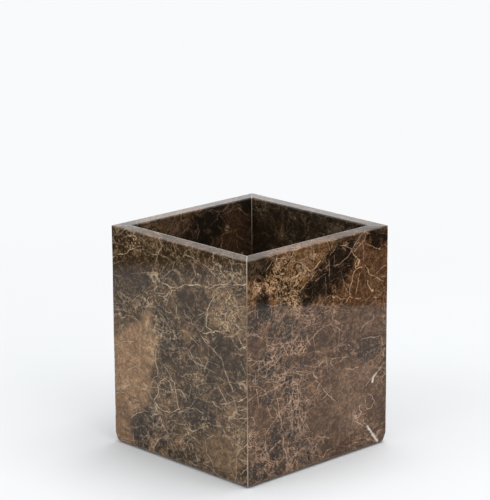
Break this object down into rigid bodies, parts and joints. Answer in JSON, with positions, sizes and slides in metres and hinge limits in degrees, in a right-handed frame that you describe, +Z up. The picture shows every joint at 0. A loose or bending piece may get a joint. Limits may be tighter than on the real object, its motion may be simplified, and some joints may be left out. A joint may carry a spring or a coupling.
{
  "type": "square marble pen cup",
  "caption": "Square open-topped pen cup of dark brown veined marble: mitred stone walls bonded round an inset stone base, on thin felt pads.",
  "frame": {"origin": "on the desk, under the middle of the cup", "axes": "+Z up along the cup's axis towards the open rim, -Y out of the front wall, +X out of the right wall"},
  "size_m": [0.088, 0.088, 0.102],
  "materials": {
    "grey_brown_marble": "polished dark brown marble with grey clouds, a tan patch and fine pale veins",
    "red_brown_marble": "polished red-brown marble with fine pinkish veins and a net of golden veins",
    "resin": "pale stone-coloured epoxy, ground flush and polished",
    "felt": "pressed black felt"
  },
  "bodies": {
    "root": {"front_wall": "grey_brown_marble", "right_wall": "red_brown_marble", "back_wall": "grey_brown_marble", "left_wall": "red_brown_marble", "base_slab": "red_brown_marble", "front_right_seam": "resin", "back_right_seam": "resin", "back_left_seam": "resin", "front_left_seam": "resin", "base_seam": "resin", "front_right_pad": "felt", "back_right_pad": "felt", "back_left_pad": "felt", "front_left_pad": "felt"}
  },
  "joints": []
}
